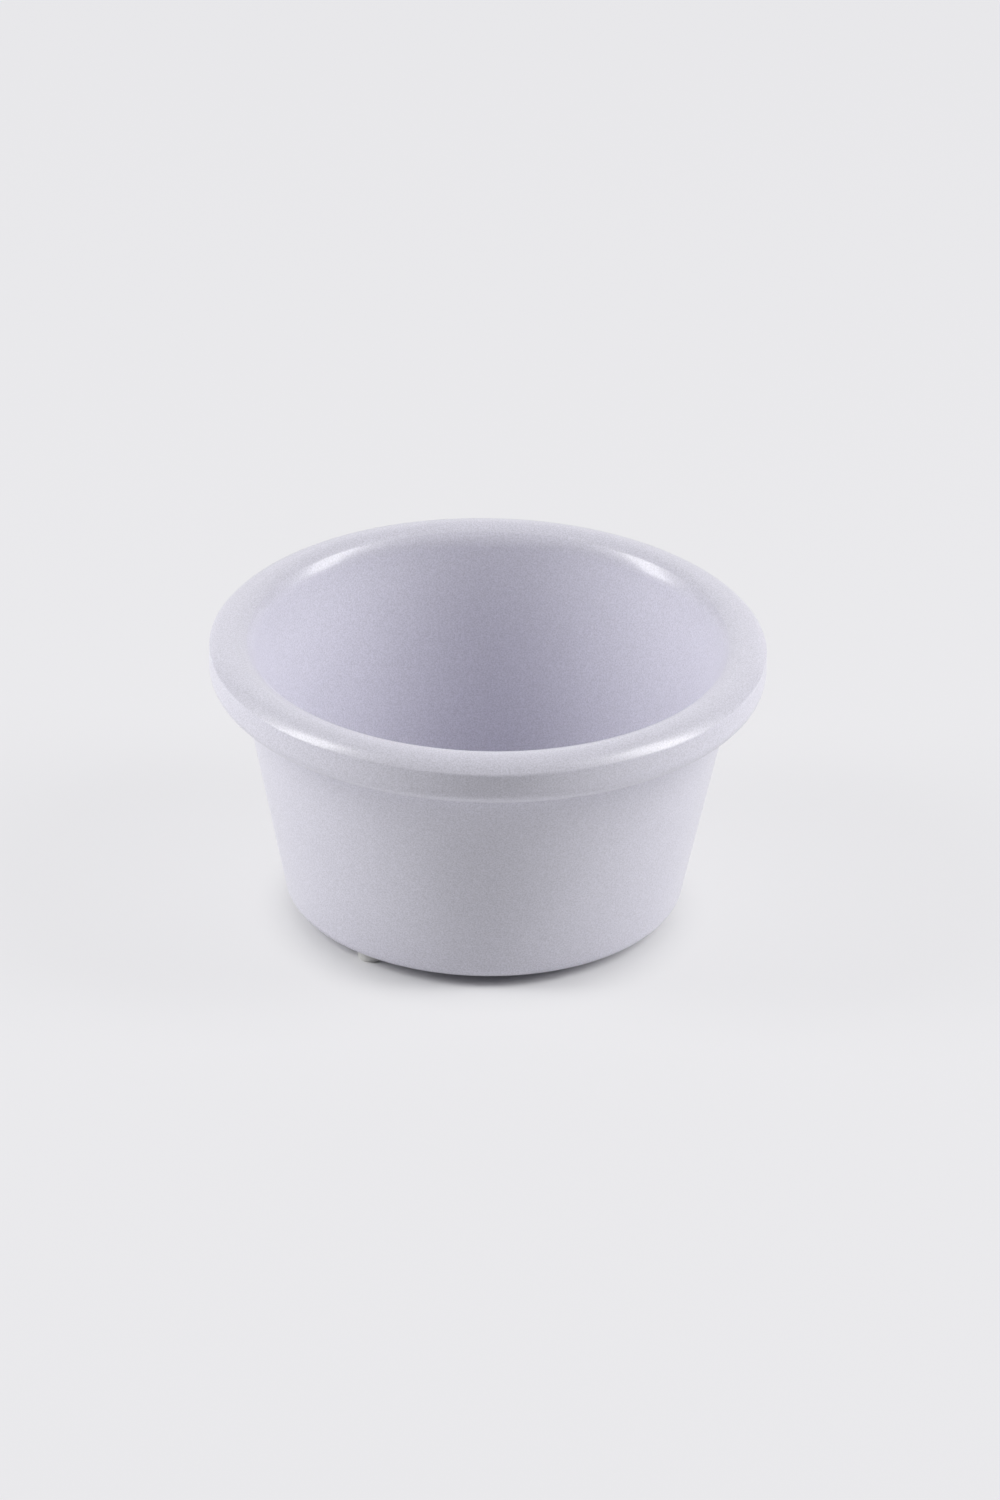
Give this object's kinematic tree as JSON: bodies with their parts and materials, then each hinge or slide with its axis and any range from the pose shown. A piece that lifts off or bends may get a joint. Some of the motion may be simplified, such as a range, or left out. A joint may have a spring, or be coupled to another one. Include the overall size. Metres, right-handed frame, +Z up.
{
  "type": "ramekin",
  "caption": "Small round ramekin: tapered cup with a thick domed rim and a rounded base corner, standing on low round feet.",
  "frame": {"origin": "on the ground, under the centre of the cup, in the plane of the three feet's lower faces", "axes": "+Z up along the axis of the cup; -Y is the front, the side that the picture was taken from; +X is to the right seen from the front"},
  "size_m": [0.076, 0.076, 0.0399],
  "materials": {
    "cup_body": "pale lavender white moulded melamine, glossy, with a fine moulded grain",
    "foot_pad": "neutral off-white, satin"
  },
  "bodies": {
    "root": {"cup": "cup_body", "foot_front_left": "foot_pad", "foot_right": "foot_pad", "foot_back": "foot_pad"}
  },
  "joints": []
}
